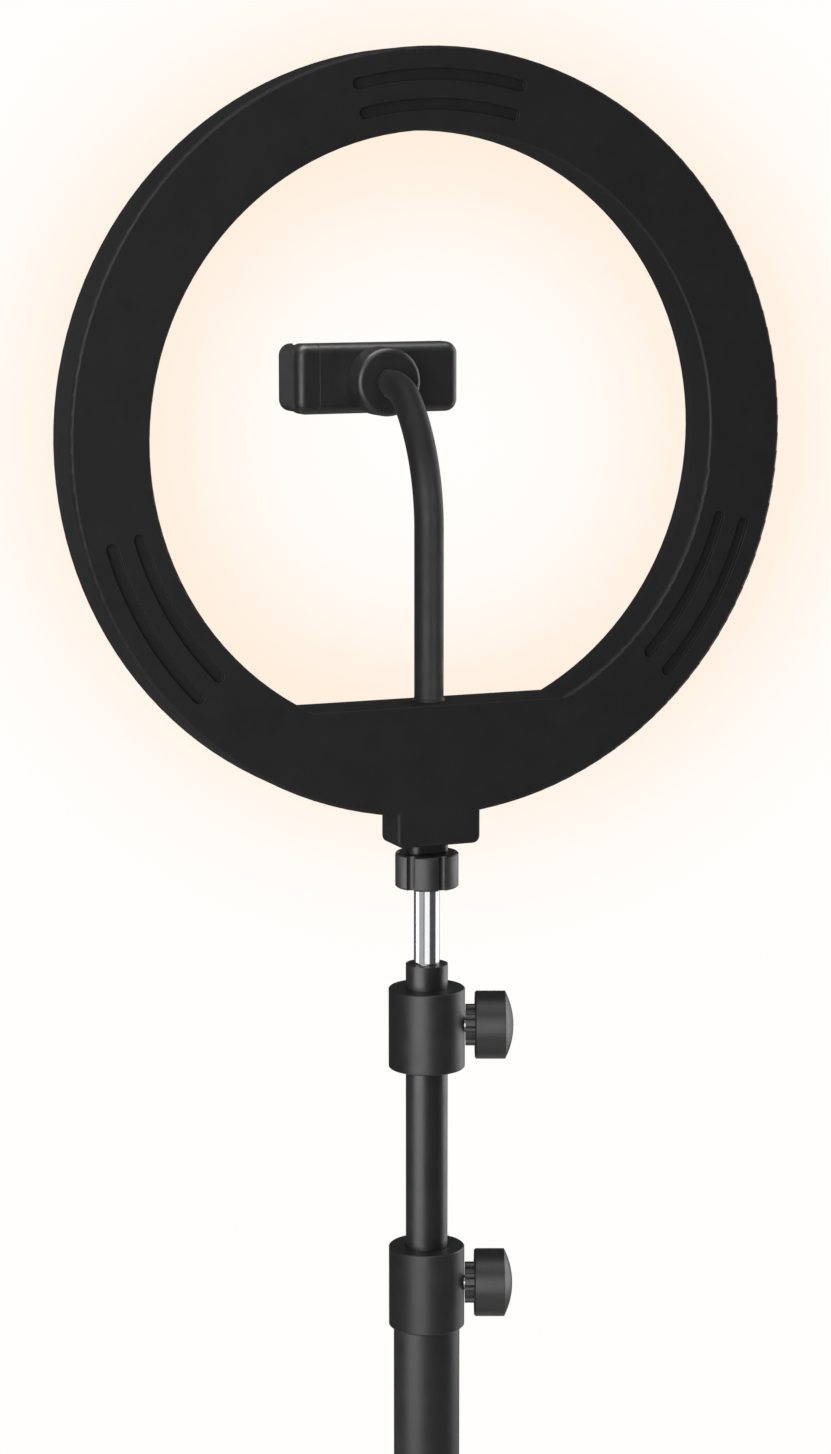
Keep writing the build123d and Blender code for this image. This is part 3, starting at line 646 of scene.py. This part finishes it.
def soft_box(name, turn, distance, height, width, tall, glow, target, only=(), but=(), past=()):
    """A soft box that lights every piece, or only some, or all but some. It makes no shadow of the pieces
    in past. turn is in degrees, and glow is its radiance, whatever its size."""
    data = bpy.data.lights.new(name, "AREA")
    data.shape = "RECTANGLE"
    data.size = width
    data.size_y = tall
    data.energy = glow * math.pi * width * tall
    light = bpy.data.objects.new(name, data)
    light.location = direction(turn) * distance + Vector((0, 0, height))
    aim(light, target)
    light.visible_camera = False
    scene.collection.objects.link(light)
    if only or but:
        group = linked(f"{name}_lights", only or but, "INCLUDE" if only else "EXCLUDE")
        light.light_linking.receiver_collection = group
    if past:
        light.light_linking.blocker_collection = linked(f"{name}_past", past, "EXCLUDE")


def make_floor():
    """A pale round floor under the feet."""
    mesh = bpy.data.meshes.new("floor")
    floor = bpy.data.objects.new("floor", mesh)
    steps = 96
    radius = 0.86
    turns = [2 * math.pi * i / steps for i in range(steps)]
    rim = [(radius * math.cos(t), radius * math.sin(t), 0) for t in turns]
    mesh.from_pydata(rim, [], [tuple(range(steps))])
    s = Shader("floor")
    mesh.materials.append(s.finish(Base_Color=(0.82, 0.81, 0.79, 1), Roughness=0.75))
    scene.collection.objects.link(floor)


def make_backdrop(camera):
    """A large pale dome, seen but not lighting, with a warm glow painted on it where the ring's light would fall.
    """
    radius = 14.0
    mesh = bpy.data.meshes.new("backdrop")
    dome = bpy.data.objects.new("backdrop", mesh)
    rows, columns = 24, 48
    points = []
    for i in range(rows + 1):
        points += [direction(360 * j / columns, 90 - 180 * i / rows) * radius for j in range(columns)]
    faces = [(i * columns + j, (i + 1) * columns + j, (i + 1) * columns + (j + 1) % columns,
              i * columns + (j + 1) % columns) for i in range(rows) for j in range(columns)]
    mesh.from_pydata(points, [], faces)
    scene.collection.objects.link(dome)
    painted_glow_radius = 0.128                 # these two are at the ring, and larger on the dome
    painted_glow_width = 0.046
    sight = (ring_centre - camera.location).normalized()
    reach = radius + 0.9                # to the dome, which the camera isn't at the middle of
    patch = camera.location + sight * reach
    scale = reach / (ring_centre - camera.location).length
    s = Shader("backdrop")
    distance = s.add("ShaderNodeVectorMath", operation="DISTANCE")
    s.link(s.place, distance.inputs[0])
    distance.inputs[1].default_value = patch
    outside = s.math("SUBTRACT", distance.outputs["Value"], painted_glow_radius * scale)
    off_ring = s.math("DIVIDE", outside, painted_glow_width * scale)
    glow = s.math("EXPONENT", s.math("MULTIPLY", s.math("POWER", off_ring, 2.0), -1.0))
    # The warm colour is painted light: a glow of the ring's lamps on the dome, painted where the camera sees the
    # dome behind the ring.
    colour = s.mix(glow, (1.0, 0.99, 0.972, 1), (1.0, 0.86, 0.73, 1))
    light = s.add("ShaderNodeEmission")
    s.link(colour, light.inputs["Color"])
    s.link(light.outputs[0], s.tree.nodes["Material Output"].inputs["Surface"])
    mesh.materials.append(s.material)
    for kind in ("diffuse", "glossy", "transmission", "volume_scatter", "shadow"):
        setattr(dome, f"visible_{kind}", False)


def make_lights():
    """A studio of soft boxes, some of them flagged so that they reach only some of the pieces."""
    middle = Vector((0, 0, 0.72))
    low = Vector((0, 0, 0.66))
    rod = [nodes["top_rod"]]
    tubes = [nodes["bottom_tube"], nodes["mid_tube"]]
    knobs = [nodes[name] for name in ("knob_1", "knob_2")]
    ring = [nodes[name] for name in ("rear_cover", "outer_bezel", "inner_bezel")]
    clamp = [nodes[name] for name in ("clamp_body", "clamp_jaw")]
    boss = [nodes["ball_socket"]]
    neck = [bpy.data.objects[name] for name in ("neck_sleeve_lower", "neck_sleeve_upper")]
    soft_box("key", 45, 1.9, 0.85, 1.7, 1.9, 3.4, middle, but=rod + tubes)
    soft_box("key_tubes", 24, 1.9, 0.85, 1.9, 1.9, 3.6, middle, only=tubes)
    soft_box("side", -35, 1.8, 0.85, 1.2, 1.9, 0.4, middle, only=ring)
    soft_box("top", 60, 0.3, 2.4, 1.4, 1.4, 1.5, middle, but=rod + clamp + boss)
    soft_box("top_clamp", 60, 0.3, 2.4, 1.4, 1.4, 7.0, middle, only=clamp + boss)
    soft_box("side_clamp", -60, 1.8, 0.85, 1.2, 1.9, 0.25, middle, only=clamp)
    soft_box("side_neck", 107, 1.8, 0.85, 0.8, 1.9, 2.6, middle, only=neck)
    soft_box("side_nut", -15, 1.8, 0.85, 1.2, 1.9, 3.0, middle, only=[nodes["lock_nut"]])
    soft_box("rim", 190, 1.6, 0.85, 1.5, 1.9, 1.9, middle, but=rod, past=knobs)
    # The rod mirrors the studio, so it has four cards of its own.
    for name, turn, width, glow in (("rod_left", -25, 0.73, 1.2), ("rod_grey", 18, 0.8, 0.34),
                                    ("rod_middle", 70, 0.81, 1.0), ("rod_right", 185, 1.25, 1.2)):
        soft_box(name, turn, 1.0, 0.66, width, 1.0, glow, low, only=rod)
    world = bpy.data.worlds.new("studio")
    world.use_nodes = True
    world.node_tree.nodes["Background"].inputs["Color"].default_value = (0.95, 0.97, 1.0, 1)
    world.node_tree.nodes["Background"].inputs["Strength"].default_value = 0.08
    scene.world = world


scene.view_settings.view_transform = "Standard"
camera = make_camera()
make_floor()
make_backdrop(camera)
make_lights()
